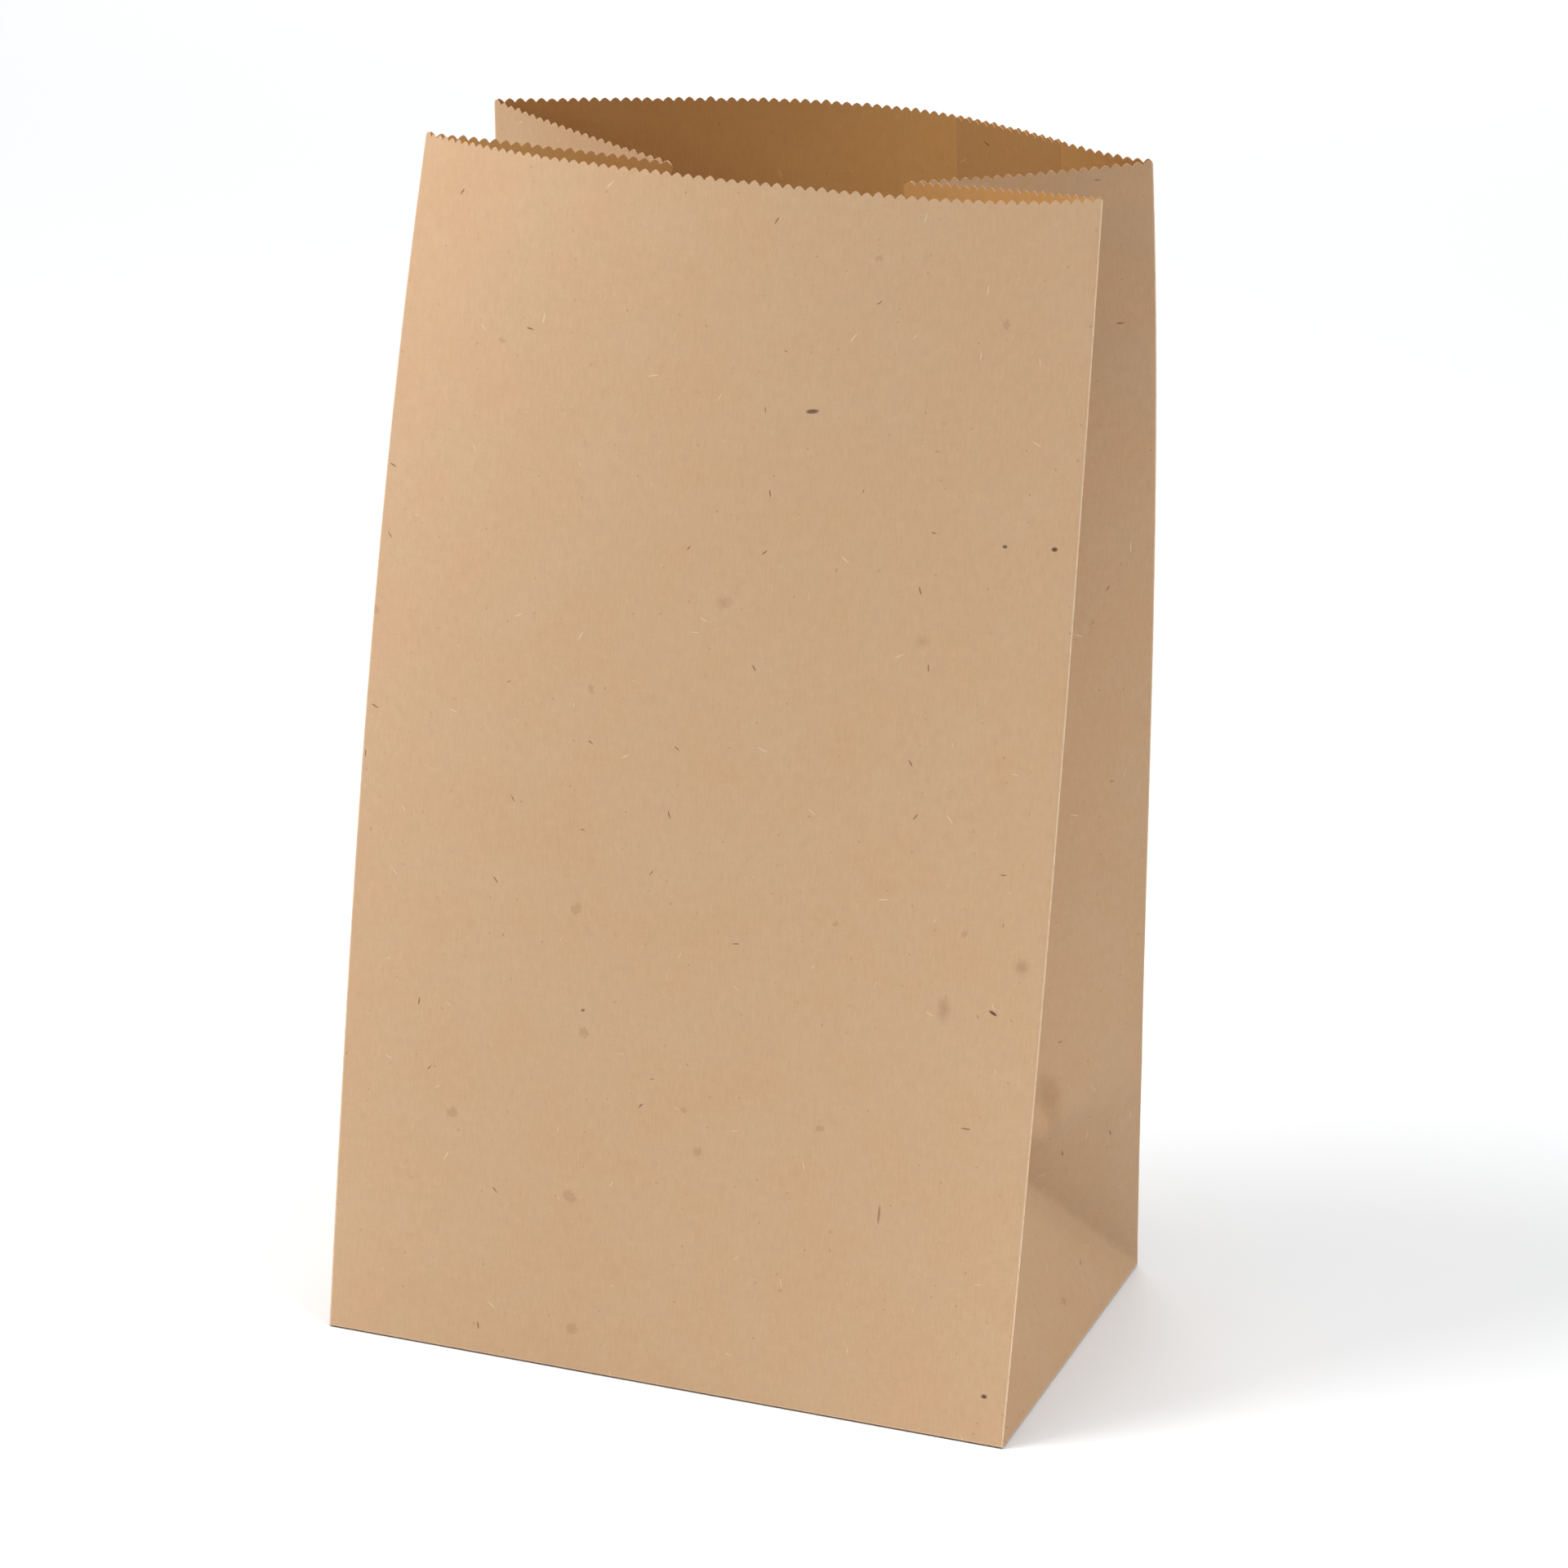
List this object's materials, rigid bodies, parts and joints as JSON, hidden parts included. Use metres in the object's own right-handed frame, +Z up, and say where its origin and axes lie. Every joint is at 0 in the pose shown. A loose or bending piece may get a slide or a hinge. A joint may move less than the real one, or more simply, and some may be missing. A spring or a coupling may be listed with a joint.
{
  "type": "paper lunch bag",
  "caption": "Brown kraft paper lunch bag standing open, with side gussets, a folded flat bottom and a zigzag-cut mouth.",
  "frame": {"origin": "middle of the folded base, on the surface that the bag stands on", "axes": "+Z up towards the open mouth, +X across the front panel to its right, +Y from the front panel to the back panel"},
  "size_m": [0.15, 0.1, 0.2556],
  "materials": {
    "kraft_paper": "matt unbleached kraft paper with fine upright fibres and sparse dark flecks"
  },
  "bodies": {
    "root": {"paper_bag": "kraft_paper"}
  },
  "joints": []
}
